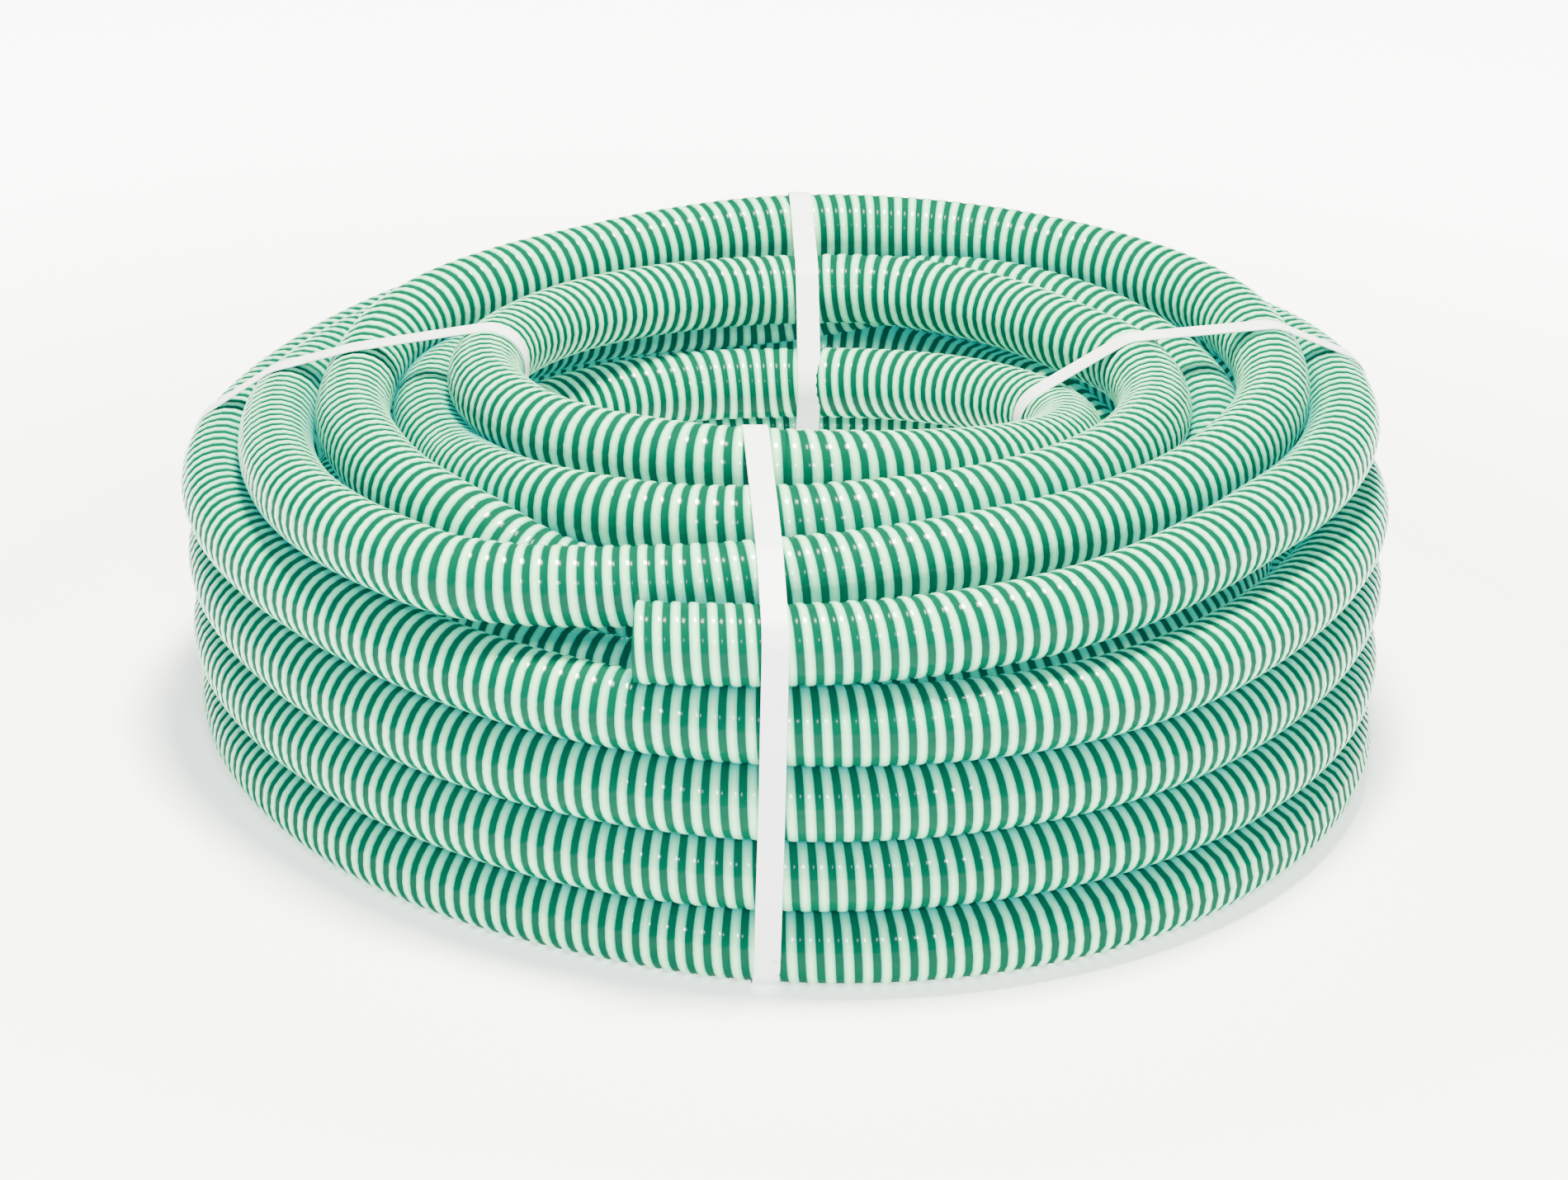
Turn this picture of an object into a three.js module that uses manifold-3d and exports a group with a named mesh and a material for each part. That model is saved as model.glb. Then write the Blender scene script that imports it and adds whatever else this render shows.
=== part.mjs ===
// A coil of green and white spiral PVC suction hose, tied with four plastic straps.
// Millimetres, +Z up. The coil lies flat on level ground at z = 0, its axis on the Z axis.
// Azimuths are in degrees: 0 is the front (-Y), 90 the right (+X), 180 the back, 270 the left.

import * as THREE from 'three';
import { mergeVertices } from 'three/addons/utils/BufferGeometryUtils.js';
import Module from 'manifold-3d';

const wasm = await Module();
wasm.setup();

// Hose: the bore that a 30 mm hose tail fits, and the wall over the ribs.
const hoseBore = 30;
const hoseWall = 2.8;
const mouthDepth = 45;
const hoseOuter = hoseBore + 2 * hoseWall;
const hoseRadius = hoseOuter / 2;

// Coil: turns lie side by side in columns and stand on each other in layers.
const innerTurnRadius = 160;
const columnCount = 4;
const columnGap = 0.7;
const outerLayers = 4;
const innerLayers = 6;
const crownStep = 10.5;
const columnPitch = hoseOuter + columnGap;
const outerTurnRadius = innerTurnRadius + (columnCount - 1) * columnPitch;

// Straps: polypropylene bands pulled taut round the coil's section.
const strapWidth = 12;
const strapThickness = 0.8;
const strapClearance = 0.6;
const strapAzimuths = { strap_front: -1, strap_right: 105, strap_back: 178, strap_left: 262 };

// The top turn lies on the outer column from the hose's free end on, then drops into the layer below.
const seatGap = 0.3;
const freeEndAzimuth = -13.5;
const dropStartAzimuth = 215;
const dropEndAzimuth = 255;
const joinAzimuth = strapAzimuths.strap_left;

// Facets
const coilSegments = 60;
const turnArcStep = 30;
const tubeSides = 12;
const tubeSteps = 46;
const mouthSteps = 4;
const strapCorners = 48;

const degrees = THREE.MathUtils.degToRad;

// Heights of the turns' centrelines
const bottomTurnHeight = strapThickness + strapClearance + hoseRadius;
const joinedTurnHeight = bottomTurnHeight + (outerLayers - 1) * hoseOuter;
const topTurnHeight = joinedTurnHeight + hoseOuter + seatGap;
const crownHeight = (column) => topTurnHeight + (columnCount - 1 - column) * crownStep;
const columnRadius = (column) => innerTurnRadius + column * columnPitch;

const hoseMaterial = new THREE.MeshStandardMaterial({ color: 0x8fd3b0, roughness: 0.3, metalness: 0 });
const strapMaterial = new THREE.MeshStandardMaterial({ color: 0xf1f1ee, roughness: 0.5, metalness: 0 });

// Centres of the turns that show on the coil's section, as (radius, height), anticlockwise from
// the bottom of the outer column: up the outside, in over the crown, down the bore, out below.
function sectionTurns() {
  const turns = [];
  for (let layer = 0; layer < outerLayers; layer += 1) {
    turns.push(new THREE.Vector2(outerTurnRadius, bottomTurnHeight + layer * hoseOuter));
  }
  const besideTop = columnCount - 2;
  turns.push(new THREE.Vector2(columnRadius(besideTop), crownHeight(besideTop) - hoseOuter));
  for (let column = besideTop; column > 0; column -= 1) {
    turns.push(new THREE.Vector2(columnRadius(column), crownHeight(column)));
  }
  for (let layer = innerLayers - 1; layer >= 0; layer -= 1) {
    const share = layer / (innerLayers - 1);
    const height = THREE.MathUtils.lerp(bottomTurnHeight, crownHeight(0), share);
    turns.push(new THREE.Vector2(innerTurnRadius, height));
  }
  for (let column = 1; column < columnCount - 1; column += 1) {
    turns.push(new THREE.Vector2(columnRadius(column), bottomTurnHeight));
  }
  return turns;
}

// Direction, in degrees, that the side from one turn to the next faces.
function facingAngle(from, to) {
  return THREE.MathUtils.radToDeg(Math.atan2(from.x - to.x, to.y - from.y));
}

// Scalloped outline of the section: each turn shows as an arc that runs 60 degrees past the
// flank on either side, so a shallow valley is left between neighbours.
function scallopedSection(turns) {
  const valley = 60;
  const outline = [];
  turns.forEach((turn, index) => {
    const before = turns[(index + turns.length - 1) % turns.length];
    const after = turns[(index + 1) % turns.length];
    const start = facingAngle(before, turn) - valley;
    let end = facingAngle(turn, after) + valley;
    while (end < start) {
      end += 360;
    }
    const pieces = Math.max(1, Math.round((end - start) / turnArcStep));
    for (let piece = 0; piece <= pieces; piece += 1) {
      const angle = degrees(THREE.MathUtils.lerp(start, end, piece / pieces));
      const reach = new THREE.Vector2(Math.cos(angle), Math.sin(angle)).multiplyScalar(hoseRadius);
      outline.push(turn.clone().add(reach));
    }
  });
  outline.push(outline[0].clone());
  return outline;
}

// Centreline of the top turn between two azimuths.
class TopTurnPath extends THREE.Curve {
  constructor(startAzimuth, endAzimuth) {
    super();
    this.startAzimuth = startAzimuth;
    this.endAzimuth = endAzimuth;
  }

  getPoint(share, target = new THREE.Vector3()) {
    const azimuth = THREE.MathUtils.lerp(this.startAzimuth, this.endAzimuth, share);
    const drop = THREE.MathUtils.smoothstep(azimuth, dropStartAzimuth, dropEndAzimuth);
    const height = THREE.MathUtils.lerp(topTurnHeight, joinedTurnHeight, drop);
    const angle = degrees(azimuth - 90);
    return target.set(outerTurnRadius * Math.cos(angle), outerTurnRadius * Math.sin(angle), height);
  }
}

function circleShape(radius) {
  const corners = [];
  for (let side = 0; side < tubeSides; side += 1) {
    const angle = (2 * Math.PI * side) / tubeSides;
    corners.push(new THREE.Vector2(radius * Math.cos(angle), radius * Math.sin(angle)));
  }
  return new THREE.Shape(corners);
}

function sweep(shape, path, steps) {
  return new THREE.ExtrudeGeometry(shape, { steps, extrudePath: path, bevelEnabled: false });
}

function toSolid(geometry) {
  const bare = geometry.clone();
  bare.deleteAttribute('normal');
  bare.deleteAttribute('uv');
  const merged = mergeVertices(bare);
  return new wasm.Manifold(new wasm.Mesh({
    numProp: 3,
    vertProperties: new Float32Array(merged.attributes.position.array),
    triVerts: new Uint32Array(merged.index.array),
  }));
}

// The main body of a cut solid, without the loose slivers that a grazing cut leaves.
function largestBody(solid) {
  return solid.decompose().reduce((best, body) => (body.volume() > best.volume() ? body : best));
}

function toGeometry(solid) {
  const mesh = solid.getMesh();
  const geometry = new THREE.BufferGeometry();
  geometry.setAttribute('position', new THREE.BufferAttribute(mesh.vertProperties, 3));
  geometry.setIndex(new THREE.BufferAttribute(mesh.triVerts, 1));
  geometry.computeVertexNormals();
  return geometry;
}

// The wound hose as one turned solid with its open middle, and the bed that the top turn sinks into.
function hoseCoil(turns) {
  const turned = new THREE.LatheGeometry(scallopedSection(turns), coilSegments);
  turned.rotateX(Math.PI / 2);
  const gapAngle = THREE.MathUtils.radToDeg(seatGap / outerTurnRadius);
  const bedPath = new TopTurnPath(dropStartAzimuth, joinAzimuth + gapAngle);
  const bedSteps = Math.round((tubeSteps * (joinAzimuth - dropStartAzimuth)) / (joinAzimuth - freeEndAzimuth));
  const bedRadius = (hoseRadius + seatGap) / Math.cos(Math.PI / tubeSides);
  const bed = sweep(circleShape(bedRadius), bedPath, bedSteps);
  const bedded = toSolid(turned).subtract(toSolid(bed));
  const mesh = new THREE.Mesh(toGeometry(largestBody(bedded)), hoseMaterial);
  mesh.name = 'hose_coil';
  return mesh;
}

// The last turn of the hose, from its square-cut free end to where it joins the coil. The free end
// is bored as deep as a hose tail goes in.
function hoseTopTurn() {
  const turn = sweep(circleShape(hoseRadius), new TopTurnPath(freeEndAzimuth, joinAzimuth), tubeSteps);
  const depthAngle = THREE.MathUtils.radToDeg(mouthDepth / outerTurnRadius);
  const mouthPath = new TopTurnPath(freeEndAzimuth - depthAngle, freeEndAzimuth + depthAngle);
  const mouth = sweep(circleShape(hoseBore / 2), mouthPath, mouthSteps);
  const mesh = new THREE.Mesh(toGeometry(toSolid(turn).subtract(toSolid(mouth))), hoseMaterial);
  mesh.name = 'hose_top_turn';
  return mesh;
}

// Taut line round circles of one radius: for each direction, the point of the circles that
// lies furthest that way.
function tautOutline(centres, radius) {
  const outline = [];
  for (let corner = 0; corner < strapCorners; corner += 1) {
    const angle = (2 * Math.PI * corner) / strapCorners;
    const direction = new THREE.Vector2(Math.cos(angle), Math.sin(angle));
    const furthest = centres.reduce((best, centre) => (centre.dot(direction) > best.dot(direction) ? centre : best));
    outline.push(furthest.clone().addScaledVector(direction, radius));
  }
  return outline;
}

// One closed strap, with the top turn inside it wherever that turn lies on the coil.
function strap(name, azimuth, turns) {
  const bound = [...turns];
  if (azimuth < dropStartAzimuth) {
    bound.push(new THREE.Vector2(outerTurnRadius, topTurnHeight));
  }
  const inside = hoseRadius + strapClearance;
  const band = new THREE.Shape(tautOutline(bound, inside + strapThickness));
  band.holes.push(new THREE.Path(tautOutline(bound, inside)));
  const geometry = new THREE.ExtrudeGeometry(band, { depth: strapWidth, bevelEnabled: false });
  geometry.translate(0, 0, -strapWidth / 2);
  geometry.rotateX(Math.PI / 2);
  const mesh = new THREE.Mesh(geometry, strapMaterial);
  mesh.rotation.z = degrees(azimuth - 90);
  mesh.name = name;
  return mesh;
}

const turns = sectionTurns();
const coil = new THREE.Group();
coil.add(hoseCoil(turns), hoseTopTurn());
for (const [name, azimuth] of Object.entries(strapAzimuths)) {
  coil.add(strap(name, azimuth, turns));
}

export default coil;
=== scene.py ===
# %% [markdown]
# A tied coil of spiral suction hose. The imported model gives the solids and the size. This script
# sets up the camera, lays the whole length of the hose turn by turn, ties it with new straps, and
# gives both plastics their finish. Sizes are metres, but the turns' places and the straps' plans
# are in hose diameters.

import bpy
import numpy as np
from mathutils import Matrix, Vector


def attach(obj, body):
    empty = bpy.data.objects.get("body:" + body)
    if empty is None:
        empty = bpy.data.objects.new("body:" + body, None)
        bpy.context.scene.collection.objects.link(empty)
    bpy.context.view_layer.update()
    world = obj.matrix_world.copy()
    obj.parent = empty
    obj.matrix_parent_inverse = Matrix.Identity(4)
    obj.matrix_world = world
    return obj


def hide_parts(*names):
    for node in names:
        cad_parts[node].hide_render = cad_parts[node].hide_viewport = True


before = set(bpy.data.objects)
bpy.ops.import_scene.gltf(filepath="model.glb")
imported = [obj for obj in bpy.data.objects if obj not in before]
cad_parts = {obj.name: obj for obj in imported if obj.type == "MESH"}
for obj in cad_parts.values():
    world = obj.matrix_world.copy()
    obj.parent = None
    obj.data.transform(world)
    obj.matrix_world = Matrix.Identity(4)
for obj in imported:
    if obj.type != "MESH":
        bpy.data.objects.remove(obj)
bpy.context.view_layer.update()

# %% [markdown]
# The camera stands in front of the coil and looks down on it by 23 degrees, a little over two
# metres away, so the near turns look barely larger than the far ones. It is rolled by a small
# angle, because the coil's right side hangs lower in the picture. The shift moves the picture
# frame over the view without turning the camera.

# %% Camera
def put_in_scene(name, data):
    """A new object with this data, linked to the scene."""
    thing = bpy.data.objects.new(name, data)
    bpy.context.scene.collection.objects.link(thing)
    return thing


aim_point = Vector((0, 0, 0.089))
camera_distance = 2.136
camera_elevation = np.radians(23.3)
camera_roll = np.radians(1.8)
lens_width = 36.0
picture_width = 1900
focal_pixels = 5345
aim_shift_pixels = (-4, -52)

camera_data = bpy.data.cameras.new("camera")
camera_data.sensor_width = lens_width
camera_data.lens = focal_pixels * lens_width / picture_width
camera_data.shift_x = aim_shift_pixels[0] / picture_width
camera_data.shift_y = aim_shift_pixels[1] / picture_width
camera = put_in_scene("camera", camera_data)
tilt = Matrix.Rotation(np.pi / 2 - camera_elevation, 4, "X")
stand_off = Vector((0, -np.cos(camera_elevation), np.sin(camera_elevation))) * camera_distance
roll_matrix = Matrix.Rotation(camera_roll, 4, "Z")
camera.matrix_world = Matrix.Translation(aim_point + stand_off) @ tilt @ roll_matrix
bpy.context.scene.camera = camera
print("camera at", [round(value, 3) for value in camera.location])
print("lens", round(camera_data.lens, 1))

# %% [markdown]
# The coil is one hose of about 24 metres, wound into eighteen uneven turns. Its middle line is a
# function of one number, the angle wound so far: 0 is the front, 90 the right, 180 the back and
# 270 the left. Radius and height are given, in hose diameters, at a few angles of each turn, and
# a smooth cubic joins them. The turns that show were measured on the photograph, and the hidden
# ones are guessed. The free end comes first, in front, on the top turn but for the raised ones,
# and the last turn lies on the floor round the open middle.

# %% The turns' places
hose_diameter = 0.0356
rib_pitch = 0.0076
bore_radius = 0.015
turn_places = {
    0: ((-13.5, 7.47, 4.42), (0, 7.36, 4.42), (25, 7.15, 4.47), (50, 6.93, 4.56), (60, 6.95, 4.59),
        (70, 7.10, 4.59), (90, 7.39, 4.59), (105, 7.50, 4.53), (135, 7.50, 4.30),
        (180, 7.45, 4.05), (225, 7.41, 3.84), (250, 7.45, 3.70), (270, 7.64, 3.60),
        (315, 7.35, 3.48)),
    1: ((0, 7.47, 3.38), (30, 7.50, 3.40), (60, 7.38, 3.45), (90, 7.58, 3.50), (135, 7.50, 3.30),
        (180, 7.50, 3.05), (225, 7.50, 2.80), (270, 7.60, 2.55), (315, 7.35, 2.45)),
    2: ((0, 7.55, 2.40), (30, 7.50, 2.41), (60, 7.38, 2.42), (90, 7.57, 2.43), (180, 7.50, 2.05),
        (270, 7.56, 1.50), (315, 7.35, 1.47)),
    3: ((0, 7.52, 1.44), (45, 7.52, 1.44), (90, 7.56, 1.45), (180, 7.45, 1.05), (270, 7.45, 0.50),
        (315, 7.30, 0.50), (340, 7.32, 0.50)),
    4: ((0, 7.54, 0.50), (30, 7.63, 0.50), (60, 7.60, 0.50), (90, 7.54, 0.50), (180, 6.80, 0.50),
        (270, 6.50, 0.50)),
    5: ((0, 6.48, 0.50), (90, 6.48, 0.50), (180, 5.80, 0.50), (270, 5.48, 0.50)),
    6: ((0, 5.46, 0.50), (90, 5.46, 0.50), (180, 5.42, 1.42), (270, 6.00, 1.38)),
    7: ((0, 6.00, 1.38), (90, 6.00, 1.38), (180, 6.40, 1.85), (270, 6.50, 2.25)),
    8: ((0, 6.50, 2.25), (90, 6.50, 2.25), (180, 5.60, 2.50), (270, 5.50, 2.25)),
    9: ((0, 5.50, 2.25), (90, 5.50, 2.25), (180, 6.30, 3.15), (270, 6.00, 3.12)),
    10: ((0, 6.00, 3.12), (90, 6.10, 3.10), (180, 6.50, 3.95), (215, 6.45, 4.15),
         (240, 6.50, 4.20), (256, 6.66, 4.21), (267, 6.81, 4.22), (278, 6.87, 4.30),
         (290, 7.00, 4.40), (302, 7.17, 4.49), (316, 7.26, 4.56), (327, 7.24, 4.58),
         (340, 6.78, 4.64), (350, 6.60, 4.76)),
    11: ((0, 6.42, 4.86), (12, 6.22, 4.92), (25, 6.05, 4.94), (50, 5.95, 4.88), (70, 6.08, 4.87),
         (90, 6.42, 4.90),
         (105, 6.64, 4.93), (120, 6.82, 4.93), (140, 6.68, 4.95), (160, 6.40, 4.97),
         (180, 6.00, 5.00), (200, 5.62, 4.95), (214, 5.46, 4.88), (228, 5.46, 4.80),
         (241, 5.62, 4.70), (254, 5.82, 4.59), (267, 5.84, 4.51), (281, 5.88, 4.57),
         (293, 5.92, 4.64), (306, 6.05, 4.68), (320, 6.15, 4.66), (335, 6.12, 4.35)),
    12: ((0, 5.45, 4.05), (45, 5.50, 4.05), (90, 5.65, 4.35), (112, 5.75, 4.38), (135, 5.76, 4.47),
         (150, 5.68, 4.46), (165, 5.52, 4.32), (180, 5.42, 4.00), (225, 5.25, 4.05),
         (250, 5.14, 4.20), (265, 4.93, 4.24), (280, 4.78, 4.28), (293, 4.74, 4.35),
         (306, 4.93, 4.56), (320, 5.17, 4.75), (329, 5.34, 4.87), (343, 5.38, 4.97)),
    13: ((0, 5.35, 5.10), (20, 5.10, 5.09), (45, 4.95, 5.03), (70, 4.88, 4.95), (90, 4.85, 4.82),
         (105, 4.72, 4.84), (120, 4.46, 4.82), (145, 4.55, 4.71), (165, 4.72, 4.60),
         (180, 4.68, 4.52), (200, 4.36, 4.59), (225, 4.10, 4.72), (246, 4.03, 4.83),
         (268, 4.10, 4.94), (293, 4.12, 5.08), (315, 4.16, 5.20), (332, 4.13, 5.28),
         (345, 4.17, 5.34)),
    14: ((0, 4.14, 5.35), (15, 4.00, 5.26), (30, 3.83, 5.09), (50, 3.68, 4.82), (70, 3.68, 4.56),
         (90, 3.69, 4.32), (105, 3.62, 4.15), (130, 3.54, 3.90), (155, 3.60, 3.65),
         (180, 3.76, 3.44), (210, 3.92, 3.40), (235, 4.10, 3.40), (270, 4.30, 3.40),
         (315, 4.38, 3.47)),
    15: ((0, 4.45, 3.45), (90, 4.45, 3.20), (180, 4.40, 2.50), (270, 4.42, 2.42)),
    16: ((0, 4.45, 2.46), (90, 4.45, 2.22), (180, 4.40, 1.50), (270, 4.42, 1.45)),
    17: ((0, 4.45, 1.47), (90, 4.45, 1.25), (180, 4.42, 0.50), (270, 4.45, 0.50)),
    18: ((0, 4.45, 0.50), (45, 4.45, 0.50)),
}
places = np.array([(360 * turn + azimuth, radius, height)
                   for turn, row in turn_places.items() for azimuth, radius, height in row])
print(len(places), "places, wound from", places[0, 0], "to", places[-1, 0], "degrees")


# %% [markdown]
# The cubic through the places is a Hermite curve: between two places it starts and ends with the
# mean slope of its neighbours there, so neither radius nor height has a corner. The same
# function later reads the middle line at any length along the hose.

# %% A smooth curve through places
def smooth_through(knots, values, at):
    """Cubic Hermite: (2t3-3t2+1)a + (t3-2t2+t)hm + (-2t3+3t2)b + (t3-t2)hn, with mean slopes."""
    gap = np.diff(knots)
    slope = (np.diff(values, axis=0).T / gap).T
    mean = (slope[:-1].T * gap[1:] + slope[1:].T * gap[:-1]).T
    mean = (mean.T / (gap[1:] + gap[:-1])).T
    slopes = np.concatenate([slope[:1], mean, slope[-1:]])
    span = np.clip(np.searchsorted(knots, at) - 1, 0, len(knots) - 2)
    part = ((at - knots[span]) / gap[span])[:, None]
    width = gap[span][:, None]
    start = (2 * part ** 3 - 3 * part ** 2 + 1) * values[span]
    leave = (part ** 3 - 2 * part ** 2 + part) * width * slopes[span]
    end = (3 * part ** 2 - 2 * part ** 3) * values[span + 1]
    arrive = (part ** 3 - part ** 2) * width * slopes[span + 1]
    return start + leave + end + arrive


stations_per_turn = 72
station_angle = 360 / stations_per_turn
tiny = 1e-6
wound = np.arange(places[0, 0], places[-1, 0] + tiny, station_angle)
sections = smooth_through(places[:, 0], places[:, 1:], wound)
print(len(wound), "stations on the middle line")

# %% [markdown]
# Two turns can't share the same space, and the hidden ones were placed only roughly. In a slice
# through the coil each turn is a circle, one diameter across, so the turns are settled there:
# circles that overlap push each other apart, the push is averaged along the hose, because a
# stiff hose can't kink, and the floor pushes up. A visible turn yields less than a hidden one.

# %% Let the turns settle
slice_radius = 0.5
settle_rounds = 260
settle_pace = 0.5
own_push_share = 0.3
turn_spacing = 0.97
smoothing_reach = 5
visible_yield = 0.25
visible_turns = {0, 1, 2, 3, 10, 11, 12, 13, 14}
turn_of_station = np.floor((wound + 1) / 360).astype(int)
yielding = np.where(np.isin(turn_of_station, list(visible_turns)), visible_yield, 1.0)
kernel = np.hanning(2 * smoothing_reach + 3)[1:-1]
kernel /= kernel.sum()
first_places = sections.copy()
for _ in range(settle_rounds):
    push = np.zeros_like(sections)
    for lag in range(stations_per_turn, len(wound), stations_per_turn):
        apart = sections[lag:] - sections[:-lag]
        distance = np.linalg.norm(apart, axis=1)
        overlap = np.clip(turn_spacing - distance, 0, None) / np.maximum(distance, tiny)
        share = yielding[lag:] / (yielding[lag:] + yielding[:-lag])
        push[lag:] += apart * (overlap * share)[:, None]
        push[:-lag] -= apart * (overlap * (1 - share))[:, None]
    padded = np.pad(push, ((smoothing_reach, smoothing_reach), (0, 0)), mode="edge")
    eased = np.stack([np.convolve(padded[:, axis], kernel, "valid") for axis in (0, 1)], axis=1)
    sections = sections + settle_pace * (eased + push * own_push_share)
    sections[:, 1] = np.maximum(sections[:, 1], slice_radius)
closest = min(np.linalg.norm(sections[lag:] - sections[:-lag], axis=1).min()
              for lag in range(stations_per_turn, len(wound), stations_per_turn))
moved = np.abs(sections - first_places).max(axis=0)
print("closest turns", round(closest, 3), "diameters; moved at most", moved.round(2))

# %% [markdown]
# The settled stations become points in space, and the arc length along them gives the position
# of every rib. The row frames are cheap to find on a coil: the outward direction is the radial
# one made square to the hose, and the third direction is their cross product.

# %% The middle line by length
wound_radians = np.radians(wound)
station_points = hose_diameter * np.stack([
    sections[:, 0] * np.sin(wound_radians),
    -sections[:, 0] * np.cos(wound_radians),
    sections[:, 1]], axis=1)
steps = np.linalg.norm(np.diff(station_points, axis=0), axis=1)
station_length = np.concatenate([[0], np.cumsum(steps)])
hose_length = station_length[-1]
slope_reach = 0.002
print("hose", round(hose_length, 2), "m,", round(hose_length / rib_pitch), "rib pitches")


def middle_line(length):
    """Point, forward, outward and upward directions at each length along the hose."""
    point = smooth_through(station_length, station_points, length)
    ahead = np.minimum(length + slope_reach, hose_length)
    behind = np.maximum(length - slope_reach, 0)
    forward = (smooth_through(station_length, station_points, ahead)
               - smooth_through(station_length, station_points, behind))
    forward /= np.linalg.norm(forward, axis=1)[:, None]
    outward = point * (1, 1, 0)
    outward = outward - forward * (outward * forward).sum(axis=1)[:, None]
    outward /= np.linalg.norm(outward, axis=1)[:, None]
    return point, forward, outward, np.cross(outward, forward)


# %% [markdown]
# The wall of the hose is a soft green web with a stiff white rib wound into it, right-handed,
# one rib every 7.6 millimetres. The rib stands out a little and is flat on top. On the grid of
# length u, in pitches, and turn round the hose v, the rib follows u + v: one pitch for each time
# round. A rib made as real surface catches its own highlight and breaks the outline.

# %% The ribbed surface
rib_relief = 0.0006
rib_half_share = 0.31


def rib_lift(phase):
    """Height over the web: relief * (1 - t^6), where t is the distance from the rib's middle."""
    across = np.abs(phase - np.floor(phase) - 0.5) / rib_half_share
    return rib_relief * np.clip(1 - across ** 6, 0, None)


def close_grid(rows, sides):
    """Quads between neighbouring rows of a closed tube, then one face over each end."""
    row = np.arange(rows - 1)[:, None] * sides
    side = np.arange(sides)[None, :]
    beside = (side + 1) % sides
    quads = np.stack([row + side, row + sides + side, row + sides + beside, row + beside], axis=-1)
    first_end = np.arange(sides)
    last_end = np.arange(sides)[::-1] + (rows - 1) * sides
    return quads.reshape(-1, 4), first_end, last_end


def tube_mesh(name, points, along):
    """A closed tube from a rows x sides grid of points, with UV = (along, side / sides)."""
    rows, sides = points.shape[:2]
    quads, first_end, last_end = close_grid(rows, sides)
    corners = np.concatenate([quads.ravel(), first_end, last_end])
    starts = np.concatenate([np.arange(len(quads)) * 4, [quads.size, quads.size + sides]])
    mesh = bpy.data.meshes.new(name)
    mesh.vertices.add(rows * sides)
    mesh.vertices.foreach_set("co", points.reshape(-1).astype(np.float32))
    mesh.loops.add(len(corners))
    mesh.loops.foreach_set("vertex_index", corners.astype(np.int32))
    mesh.polygons.add(len(starts))
    mesh.polygons.foreach_set("loop_start", starts.astype(np.int32))
    flags = np.full(len(starts), True)
    flags[-2:] = False
    mesh.polygons.foreach_set("use_smooth", flags)
    around = np.tile([0, 0, 1, 1], len(quads)) + np.repeat(np.arange(len(quads)) % sides, 4)
    around = np.concatenate([around, first_end, np.arange(sides)[::-1]]) / sides
    uv = np.stack([along[corners // sides], around], axis=1)
    mesh.uv_layers.new(name="wrap").data.foreach_set("uv", uv.reshape(-1).astype(np.float32))
    mesh.update(calc_edges=True)
    mesh.validate()
    return put_in_scene(name, mesh)


# %% [markdown]
# Where turns touch, little light reaches the ribs, only through the neighbours' green walls, and
# they look teal there. That shade is painted: every point of the hose keeps a number for how near
# the next turn is, and the finish paints the rib teal by it. In a slice the turns are circles, so
# the gap from a point to another turn is its distance from that turn's middle less the radius.

# %% How near the next turn is
shade_reach = 0.22
no_turn_near = 9.0


def painted_contact_shade_round(sides):
    """exp(-gap / reach) at each station and side, for the smallest gap to another turn."""
    turn_round = 2 * np.pi * np.arange(sides) / sides
    skin = slice_radius * np.stack([np.cos(turn_round), np.sin(turn_round)], axis=1)
    gap = np.full((len(wound), sides), no_turn_near)
    for lag in range(stations_per_turn, len(wound), stations_per_turn):
        apart = (sections[lag:] - sections[:-lag])[:, None]
        onward = np.linalg.norm(skin - apart, axis=2) - slice_radius
        backward = np.linalg.norm(skin + apart, axis=2) - slice_radius
        gap[:-lag] = np.minimum(gap[:-lag], onward)
        gap[lag:] = np.minimum(gap[lag:], backward)
    return np.exp(-np.clip(gap, 0, None) / shade_reach)


# %% [markdown]
# A run of hose is the middle line with a circle round each row. The first run starts inside its
# own bore: rows go back along the inner wall to the cut end, out over the sawn face, and forward
# along the outside, so the open mouth is part of one closed surface.

# %% One run of hose
mouth_depth = 0.060
bore_rows = 31
sawn_edge = 0.0004
sawn_rib_shares = [0.6, 1]
route_step = 0.05
route_points_least = 15


def hose_run(name, start, end, rows_per_pitch, sides, mouth=False):
    """Radius = web radius + rib lift(u + v), or the bore's radius on the way out of a mouth."""
    count = int(round((end - start) / rib_pitch * rows_per_pitch))
    length = np.linspace(start, end, count + 1)
    ribbed = np.ones_like(length)
    base = np.full_like(length, hose_diameter / 2 - rib_relief)
    if mouth:
        inside = np.linspace(mouth_depth, 0, bore_rows)
        length = np.concatenate([inside, [0, sawn_edge], length[1:]])
        ribbed = np.concatenate([np.zeros(bore_rows), sawn_rib_shares, ribbed[1:]])
        base = np.concatenate([np.full(bore_rows, bore_radius), base[:2], base[1:]])
    turn_round = np.arange(sides) / sides
    phase = length[:, None] / rib_pitch + turn_round[None, :]
    radius = base[:, None] + ribbed[:, None] * rib_lift(phase)
    point, _, outward, upward = middle_line(length)
    angle = 2 * np.pi * turn_round[None, :, None]
    around = np.cos(angle) * outward[:, None, :] + np.sin(angle) * upward[:, None, :]
    points = point[:, None, :] + radius[:, :, None] * around
    along = length / rib_pitch - np.floor(start / rib_pitch)
    piece = tube_mesh(name, points, along)
    # The painted contact shade between turns, kept on each point for the finish.
    near = np.stack([np.interp(length, station_length, column)
                     for column in painted_contact_shade_round(sides).T], axis=1)
    shade = piece.data.attributes.new("painted_contact_shade", "FLOAT", "POINT")
    shade.data.foreach_set("value", near.reshape(-1).astype(np.float32))
    route_points = max(route_points_least, int((end - start) / route_step))
    route = middle_line(np.linspace(start, end, route_points))[0]
    return piece, route


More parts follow.
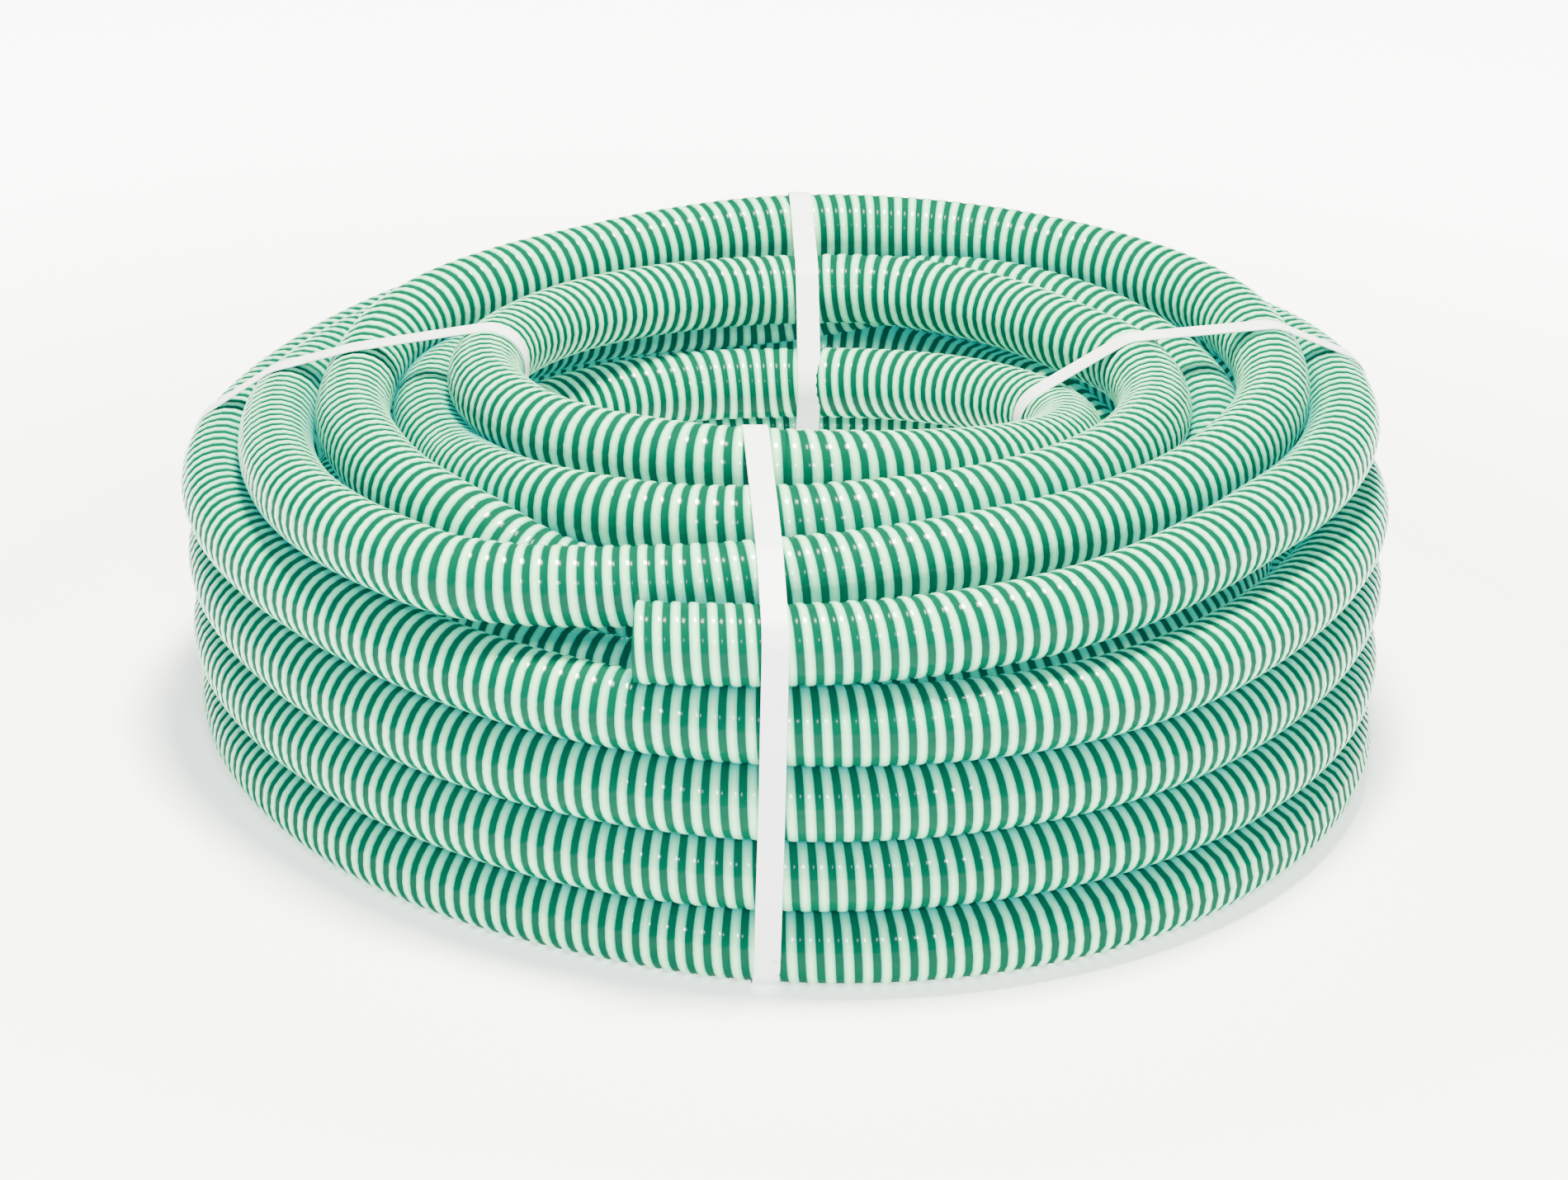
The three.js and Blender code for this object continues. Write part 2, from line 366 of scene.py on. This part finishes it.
# %% [markdown]
# The hose is parted into eight runs, so that none is a heavy mesh. Neighbours meet on the same
# circle of the hose. The two joints on the coil's outside lie under the front strap, and the
# others lie inside the pack or beside the strap on the inner turns. Runs that mostly show get
# more rows and sides than those that mostly lie inside.

# %% Lay the hose
run_ends = (2, 4, 7, 10, 12, 14, 16)
cut_angle = -1.0
fine = (8, 22)
coarse = (6, 14)
run_grid = (fine, fine, coarse, coarse, fine, fine, fine, coarse)
cut_angles = [360 * turn + cut_angle for turn in run_ends]
cut_lengths = [0.0, *np.interp(cut_angles, wound, station_length).tolist(), float(hose_length)]
hose_runs = []
for number, (rows_per_pitch, sides) in enumerate(run_grid):
    start, end = cut_lengths[number], cut_lengths[number + 1]
    run, route = hose_run(f"hose_run_{number + 1}", start, end, rows_per_pitch, sides,
                          mouth=number == 0)
    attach(run, "root")
    hose_runs.append(run)
    print(run.name, round(end - start, 2), "m,", len(run.data.polygons) * 2, "triangles")
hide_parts("hose_top_turn", "hose_coil")

# %% [markdown]
# Four flat straps of white plastic tie the coil. A taut strap is the outline of a rubber band
# round the turns' circles: for every direction it touches the circle that reaches furthest that
# way, at that circle's centre plus its radius times the direction. Between two such circles the
# band is straight. Each plan is two points in hose diameters, one by the open middle and one
# outside the coil, and the strap's plane stands on the line through them.

# %% Tie the straps
strap_width = 0.0116
strap_thickness = 0.0008
strap_clearance = 0.0002
strap_edge_share = 0.3
plane_margin = 0.08
strap_plans = {
    "front": ((-0.46, -3.90), (-0.09, -8.00)),
    "right": ((3.43, 0.70), (7.84, 1.60)),
    "back": ((0.22, 3.50), (-0.13, 8.00)),
    "left": ((-3.49, 0.24), (-7.98, 0.60)),
}
strap_directions = 180


def turns_crossed(inner, outer):
    """Distance along the strap's plane and height of the middle line, wherever it crosses."""
    along = (outer - inner) / np.linalg.norm(outer - inner)
    beside = np.array([-along[1], along[0]])
    offset = (station_points[:, :2] - inner) @ beside
    reach = (station_points[:, :2] - inner) @ along
    before = np.flatnonzero((offset[:-1] * offset[1:] < 0) & (reach[:-1] > -plane_margin))
    part = (offset[before] / (offset[before] - offset[before + 1]))[:, None]
    flat = np.stack([reach, station_points[:, 2]], axis=1)
    return flat[before] * (1 - part) + flat[before + 1] * part, along, beside


def band_mesh(name, grid, outline):
    """A ring-shaped tube: the last row joins the first, and UV is in metres along and across."""
    rows, sides = grid.shape[:2]
    row = np.arange(rows)[:, None]
    side = np.arange(sides)[None, :]
    after = (row + 1) % rows
    beside = (side + 1) % sides
    faces = np.stack([row * sides + side, row * sides + beside,
                      after * sides + beside, after * sides + side], axis=-1).reshape(-1, 4)
    mesh = bpy.data.meshes.new(name)
    mesh.from_pydata(grid.reshape(-1, 3), [], faces)
    closed = np.concatenate([outline, outline[:1]])
    run = np.concatenate([[0], np.cumsum(np.linalg.norm(np.diff(closed, axis=0), axis=1))])
    corner_row = np.tile([0, 0, 1, 1], len(faces)) + np.repeat(np.arange(len(faces)) // sides, 4)
    corner_side = np.tile([0, 1, 1, 0], len(faces)) + np.repeat(np.arange(len(faces)) % sides, 4)
    across = corner_side / sides * strap_width * 2
    uv = np.stack([run[corner_row], across], axis=1)
    mesh.uv_layers.new(name="wrap").data.foreach_set("uv", uv.reshape(-1).astype(np.float32))
    mesh.validate()
    return put_in_scene(name, mesh)


def strap_band(name, inner, outer):
    """A flat band: outline point + n * thickness, spread by half its width either side."""
    centres, radial, sideways = turns_crossed(inner, outer)
    direction = np.linspace(0, 2 * np.pi, strap_directions, endpoint=False)
    normal = np.stack([np.cos(direction), np.sin(direction)], axis=1)
    reach = hose_diameter / 2 + strap_clearance
    furthest = (centres @ normal.T).argmax(axis=0)
    touch = centres[furthest] + normal * reach
    touch[:, 1] = np.maximum(touch[:, 1], strap_thickness)
    outside = touch + normal * strap_thickness
    outside[:, 1] = np.maximum(outside[:, 1], 0.0)
    half = strap_width / 2
    edge = strap_thickness * strap_edge_share
    ring = ((touch, -half + edge), (touch, half - edge), ((touch + outside) / 2, half),
            (outside, half - edge), (outside, -half + edge), ((touch + outside) / 2, -half))
    start = np.append(inner, 0)
    radial, sideways = np.append(radial, 0), np.append(sideways, 0)
    grid = np.stack([start + line[:, :1] * radial + line[:, 1:] * (0, 0, 1) + offset * sideways
                     for line, offset in ring], axis=1)
    return band_mesh(name, grid, touch)


straps = []
for side_name, plan in strap_plans.items():
    inner, outer = np.array(plan) * hose_diameter
    strap = strap_band(f"tie_{side_name}", inner, outer)
    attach(strap, "root")
    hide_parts(f"strap_{side_name}")
    straps.append(strap)
    print(strap.name, len(strap.data.polygons), "faces")


# %% [markdown]
# Materials are sums and products of a few masks, and written as such. The small class wraps a
# node's output, so that an expression on it adds the Math nodes it needs.

# %% Shader arithmetic
class Value:
    """A shader socket with arithmetic: each operator adds one Math node."""

    def __init__(self, tree, socket):
        self.tree = tree
        self.socket = socket

    def math(self, operation, *others, clamp=False):
        node = self.tree.nodes.new("ShaderNodeMath")
        node.operation = operation
        node.use_clamp = clamp
        for port, item in zip(node.inputs, (self, *others)):
            Finish.feed(self.tree, port, item)
        return Value(self.tree, node.outputs[0])

    def __add__(self, other):
        return self.math("ADD", other)

    def __mul__(self, other):
        return self.math("MULTIPLY", other)

    def __sub__(self, other):
        return self.math("SUBTRACT", other)

    def __rsub__(self, other):
        return (self * -1).math("ADD", other)

    __radd__ = __add__
    __rmul__ = __mul__


class Finish:
    """A material with one Principled shader, and one method that adds any other node."""

    def __init__(self, name, constants):
        self.material = bpy.data.materials.new(name)
        self.material.use_nodes = True
        self.tree = self.material.node_tree
        self.shader = self.tree.nodes["Principled BSDF"]
        for socket, value in constants.items():
            self.shader.inputs[socket].default_value = value

    @staticmethod
    def feed(tree, port, item):
        if isinstance(item, Value):
            tree.links.new(item.socket, port)
        else:
            port.default_value = item

    def node(self, kind, settings=None, output=0, **sockets):
        made = self.tree.nodes.new(kind)
        for key, value in (settings or {}).items():
            setattr(made, key, value)
        for key, item in sockets.items():
            self.feed(self.tree, made.inputs[key.replace("_", " ")], item)
        return Value(self.tree, made.outputs[output])

    def blend(self, mask, low, high):
        """(1 - mask) * low + mask * high; a Mix node's colours are its ports 6 and 7."""
        made = self.tree.nodes.new("ShaderNodeMix")
        made.data_type = "RGBA"
        for place, item in ((0, mask), (6, low), (7, high)):
            self.feed(self.tree, made.inputs[place], item)
        return Value(self.tree, made.outputs[2])

    def surface_map(self):
        """The two values of the surface's own UV map: along the piece and across it."""
        uv_map = self.node("ShaderNodeUVMap", {"uv_map": "wrap"})
        split = self.tree.nodes.new("ShaderNodeSeparateXYZ")
        self.feed(self.tree, split.inputs[0], uv_map)
        return [Value(self.tree, output) for output in split.outputs[:2]]

    def surface(self, **sockets):
        for key, item in sockets.items():
            self.feed(self.tree, self.shader.inputs[key.replace("_", " ")], item)


# %% [markdown]
# The hose's colour follows its rib: the stripe mask is the triangle wave of u + v from the UV
# map, sharpened to a narrow edge. Under the white rib the green web shines through a little, so
# the rib is mint at its edges and creamy on its crown; the mint edge is partly also painted shade
# of the rib's rounded sides. Where another turn is near, the rib is painted teal, a painted shade.
# The gloss is a clear coat, strong on the rib and thin on the web. The plastic lets some light
# through, which a painted green glow from no lamp stands for, stronger on the rib. Cycles isn't
# asked to sample that glow as a lamp, which would double the time of a render.

# %% Hose finish
# Emission Strength 1.0 switches on the painted glow below.
hose_finish = Finish("ribbed_pvc", {"IOR": 1.5, "Coat Roughness": 0.14, "Specular IOR Level": 0.0,
                                     "Emission Strength": 1.0})
along_hose, round_hose = hose_finish.surface_map()
phase = along_hose + round_hose
place = hose_finish.node("ShaderNodeTexCoord", output="Object")
mottle = hose_finish.node("ShaderNodeTexNoise", Vector=place, Scale=90.0, Detail=3.0)
waver = hose_finish.node("ShaderNodeTexNoise", Vector=place, Scale=35.0, Detail=2.0)
edge_waver = 0.02
rib_edge = 0.272
edge_sharpness = 15.0
crown_level = 1.25
crown_fall = 4.4
from_middle = (phase.math("FRACT") - 0.5).math("ABSOLUTE") + (waver - 0.5) * edge_waver
rib_mask = ((rib_edge - from_middle) * edge_sharpness).math("ADD", 0.5, clamp=True)
crown_mask = (crown_level - from_middle * crown_fall).math("ADD", 0.0, clamp=True)

web_green = (0.0, 0.062, 0.030, 1)
web_deep = (0.0, 0.040, 0.020, 1)
# Mint for the rib's edges: partly the green web showing through, partly painted shade of the rib's
# rounded sides.
rib_mint_and_edge_shade = (0.02, 0.32, 0.22, 1)
rib_cream = (0.44, 0.86, 0.40, 1)
# Painted glow from no lamp, standing for light through the plastic: weak on the web, strong on the
# rib.
web_painted_glow = (0.0, 0.055, 0.038, 1)
rib_painted_glow = (0.0, 0.28, 0.25, 1)
# Teal painted shade for the rib where another turn lies near.
rib_painted_shade_teal = (0.0, 0.24, 0.20, 1)
rib_coat = 0.72
web_coat = 0.08
hose_roughness = 0.22
hose_roughness_spread = 0.12
crown_share = 0.9
mottle_share = 0.1
painted_contact_shade = hose_finish.node("ShaderNodeAttribute", {"attribute_name": "painted_contact_shade"}, output="Fac")
web_colour = hose_finish.blend(mottle, web_deep, web_green)
# Mint rib edges, cream crown: the edge colour is partly painted shade of the rib's rounded sides.
rib_open = hose_finish.blend(crown_mask * crown_share + mottle * mottle_share,
                             rib_mint_and_edge_shade, rib_cream)
# The rib is blended to the teal painted shade where another turn is near.
rib_colour_and_painted_shade = hose_finish.blend(painted_contact_shade, rib_open, rib_painted_shade_teal)
hose_finish.surface(
    Base_Color=hose_finish.blend(rib_mask, web_colour, rib_colour_and_painted_shade),
    Roughness=hose_roughness + waver * hose_roughness_spread,
    # The emission is a painted glow, not a lamp.
    Emission_Color=hose_finish.blend(rib_mask, web_painted_glow, rib_painted_glow),
    Coat_Weight=rib_coat * rib_mask + web_coat)
hose_finish.material.cycles.emission_sampling = "NONE"
for run in hose_runs:
    run.data.materials.append(hose_finish.material)
print("hose finish has", len(hose_finish.tree.nodes), "nodes")

# %% [markdown]
# The straps are woven-look embossed strapping: a white, half-matt plastic pressed with small
# diamonds. Two sets of slanted waves on the strap's own UV map make them, as bump.

# %% Strap finish
strap_finish = Finish("embossed_strapping", {"IOR": 1.49})
strap_along, strap_across = strap_finish.surface_map()
diamond_size = 0.0015
turns_per_metre = 2 * np.pi / diamond_size
one_way = ((strap_along + strap_across) * turns_per_metre).math("SINE")
other_way = ((strap_along - strap_across) * turns_per_metre).math("SINE")
emboss = one_way.math("MAXIMUM", other_way)
strap_place = strap_finish.node("ShaderNodeTexCoord", output="Object")
haze = strap_finish.node("ShaderNodeTexNoise", Vector=strap_place, Scale=60.0, Detail=4.0)
strap_white = (0.88, 0.90, 0.90, 1)
strap_grey = (0.74, 0.79, 0.80, 1)
strap_roughness = 0.38
strap_roughness_spread = 0.15
strap_finish.surface(
    Base_Color=strap_finish.blend(haze, strap_grey, strap_white),
    Roughness=strap_roughness + haze * strap_roughness_spread,
    Normal=strap_finish.node("ShaderNodeBump", Strength=0.25, Distance=0.0001, Height=emboss))
for strap in straps:
    strap.data.materials.append(strap_finish.material)
print("strap finish has", len(strap_finish.tree.nodes), "nodes")

# %% [markdown]
# The studio is a pale floor that runs far behind the coil, a faint even surround, a warm soft
# box overhead and a cool one in front and below it. Their two reflections are the two rows of
# highlights on every near turn. The floor glows more the further it is from the coil, which keeps
# the background white without washing out the hose.

# %% Studio
floor_half = 12.0
floor_mesh = bpy.data.meshes.new("floor")
floor_corners = [(-floor_half, -floor_half, 0), (floor_half, -floor_half, 0),
                 (floor_half, floor_half, 0), (-floor_half, floor_half, 0)]
floor_mesh.from_pydata(floor_corners, [], [(0, 1, 2, 3)])
floor = put_in_scene("floor", floor_mesh)
floor_finish = Finish("pale_floor", {"Base Color": (0.95, 0.95, 0.945, 1), "Roughness": 0.9,
                                     "Specular IOR Level": 0.1, "Emission Strength": 7.0})
floor_place = floor_finish.node("ShaderNodeTexCoord", output="Object")
from_coil = floor_finish.node("ShaderNodeVectorMath", {"operation": "LENGTH"}, output="Value",
                              Vector=floor_place)
glow_start = 0.42
glow_rise = 1.8
far_mask = ((from_coil - glow_start) * glow_rise).math("ADD", 0.0, clamp=True)
floor_near = (0.20, 0.20, 0.20, 1)
floor_far = (1.0, 1.0, 1.0, 1)
floor_finish.surface(Emission_Color=floor_finish.blend(far_mask, floor_near, floor_far))
floor_mesh.materials.append(floor_finish.material)

world = bpy.data.worlds.new("surround")
world.use_nodes = True
surround = world.node_tree.nodes["Background"]
surround.inputs["Color"].default_value = (1.0, 1.0, 1.0, 1)
surround.inputs["Strength"].default_value = 0.10
bpy.context.scene.world = world


def soft_box(name, position, size, power, colour):
    """A rectangular area light at a position, turned to face the coil's middle."""
    light = bpy.data.lights.new(name, "AREA")
    light.shape = "RECTANGLE"
    light.size, light.size_y = size
    light.energy = power
    light.color = colour
    holder = put_in_scene(name, light)
    holder.location = position
    holder.rotation_euler = (aim_point - Vector(position)).to_track_quat("-Z", "Y").to_euler()


soft_box("overhead_box", position=(0.05, -0.1, 2.0), size=(0.45, 0.38), power=240,
         colour=(1.0, 0.97, 0.82))
soft_box("front_box", position=(0.1, -1.8, 1.25), size=(0.30, 0.18), power=40,
         colour=(0.86, 0.95, 1.0))
print("studio lit")
